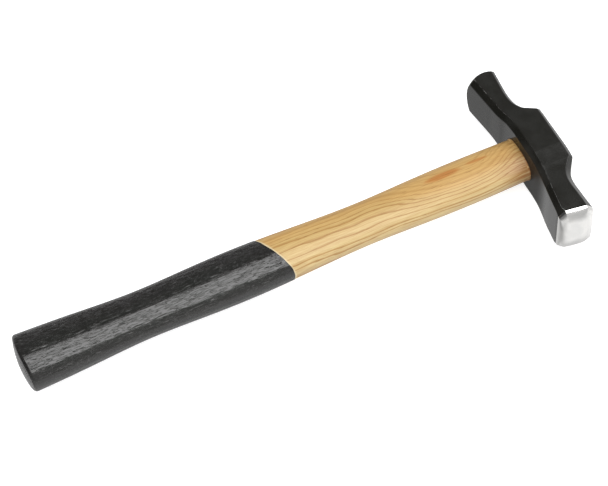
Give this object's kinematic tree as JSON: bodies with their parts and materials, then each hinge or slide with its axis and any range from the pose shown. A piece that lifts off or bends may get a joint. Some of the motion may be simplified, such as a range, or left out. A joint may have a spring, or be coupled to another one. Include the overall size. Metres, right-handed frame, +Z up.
{
  "type": "forging hammer",
  "caption": "Octagonal forging hammer head, black with one bright domed face, on a bare ash handle whose grip is dipped in black lacquer.",
  "frame": {"origin": "on the cheek that the hammer lies on, straight below the centre of the eye", "axes": "+X along the handle towards the head's top, +Y towards the painted face, -Y towards the polished face, +Z up and square to the cheeks"},
  "size_m": [0.3908, 0.1443, 0.0436],
  "materials": {
    "head_steel": "satin black, ground bright at one face",
    "ash": "clear satin varnish over straight and flamed grain",
    "lacquer": "thin semi-gloss black dip coat with the grain showing through",
    "wedge_wood": "plain sawn end grain",
    "ring_steel": "bare steel"
  },
  "bodies": {
    "root": {"head": "head_steel", "handle": "ash", "grip_coat": "lacquer", "wood_wedge": "wedge_wood", "ring_wedge": "ring_steel"}
  },
  "joints": []
}
